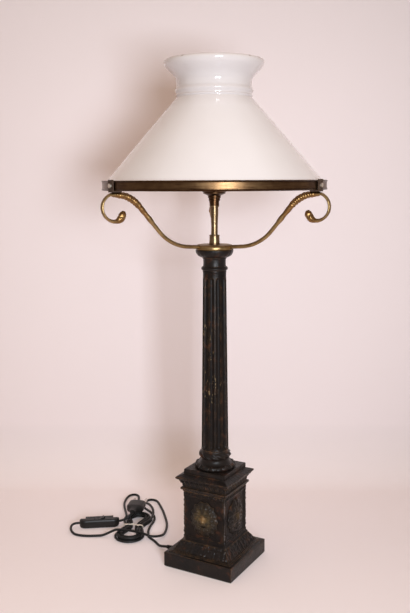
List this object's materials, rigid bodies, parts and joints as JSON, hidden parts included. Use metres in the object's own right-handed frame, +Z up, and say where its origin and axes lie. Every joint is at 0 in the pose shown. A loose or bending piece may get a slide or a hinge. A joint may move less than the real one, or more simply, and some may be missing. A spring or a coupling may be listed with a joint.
{
  "type": "table lamp",
  "caption": "Fluted column table lamp on a square pedestal, with scroll arms that carry a ring and a flared cone of opal glass over a screw-in bulb, on a corded plug with a hand switch.",
  "frame": {"origin": "middle of the underside of the felt under the base, on the table", "axes": "+Z up along the column; -Y is the outward normal of the pedestal's front face; +X points to the lamp's right, and arm 1 lies along +X"},
  "size_m": [0.395, 0.2866, 0.6647],
  "materials": {
    "felt": "green-black felt",
    "bronze": "dark brown patina, rubbed golden brown on the edges",
    "gilt_brass": "old gilding, satin",
    "aged_brass": "brown aged brass, satin",
    "contact_brass": "bright",
    "steel": "plain zinc plated",
    "opal_glass": "glossy opal",
    "bulb_glass": "frosted",
    "cap_metal": "bright",
    "porcelain": "glazed porcelain",
    "cord": "satin black sheath",
    "black_plastic": "satin black",
    "pin_metal": "nickel plated",
    "tie": "pale paper-covered wire"
  },
  "bodies": {
    "stand": {"felt_pad": "felt", "plinth": "bronze", "die": "bronze", "mask_front": "bronze", "mask_right": "bronze", "mask_back": "bronze", "mask_left": "bronze", "cornice": "bronze", "abacus": "bronze", "column_base": "bronze", "column_shaft": "bronze", "capital": "bronze", "tie_rod": "steel", "clamp_bar": "steel", "rod_nut": "steel", "rod_washer": "steel", "gallery_hub": "gilt_brass", "arm_1": "gilt_brass", "arm_2": "gilt_brass", "arm_3": "gilt_brass", "shade_ring": "aged_brass", "ring_clips": "aged_brass", "ring_screws": "gilt_brass", "stem_collar": "gilt_brass", "stem_tube": "gilt_brass", "stem_ring": "gilt_brass", "holder_bell": "aged_brass", "holder_sleeve": "aged_brass", "holder_core": "porcelain", "holder_thread": "contact_brass", "holder_contact": "contact_brass", "inner_lead": "cord", "cord_relief": "cord", "cord_lead": "cord", "cord_hank": "cord", "cord_loop": "cord", "cord_tail": "cord", "twist_tie": "tie", "switch_lower": "black_plastic", "switch_upper": "black_plastic", "switch_pivot": "steel", "switch_terminals": "contact_brass", "switch_screws": "steel", "plug_body": "black_plastic", "plug_pins": "pin_metal"},
    "shade": {"glass_shade": "opal_glass"},
    "bulb": {"bulb_cap": "cap_metal", "bulb_contact": "cap_metal", "bulb_glass": "bulb_glass"},
    "rocker": {"switch_rocker": "black_plastic"}
  },
  "joints": [
    {"name": "shade_lift", "type": "slide", "parent": "stand", "child": "shade", "axis": [0, 0, 1], "range_m": [0, 0.08]},
    {"name": "bulb_turn", "type": "hinge", "parent": "stand", "child": "bulb", "pos_m": [0, 0, 0.53], "axis": [0, 0, 1], "range_deg": [0, 900]},
    {"name": "switch_rocker_tip", "type": "hinge", "parent": "stand", "child": "rocker", "pos_m": [-0.2045, 0.0097, 0.0097], "axis": [-0.5821, 0.8131, 0], "range_deg": [0, 14]}
  ]
}
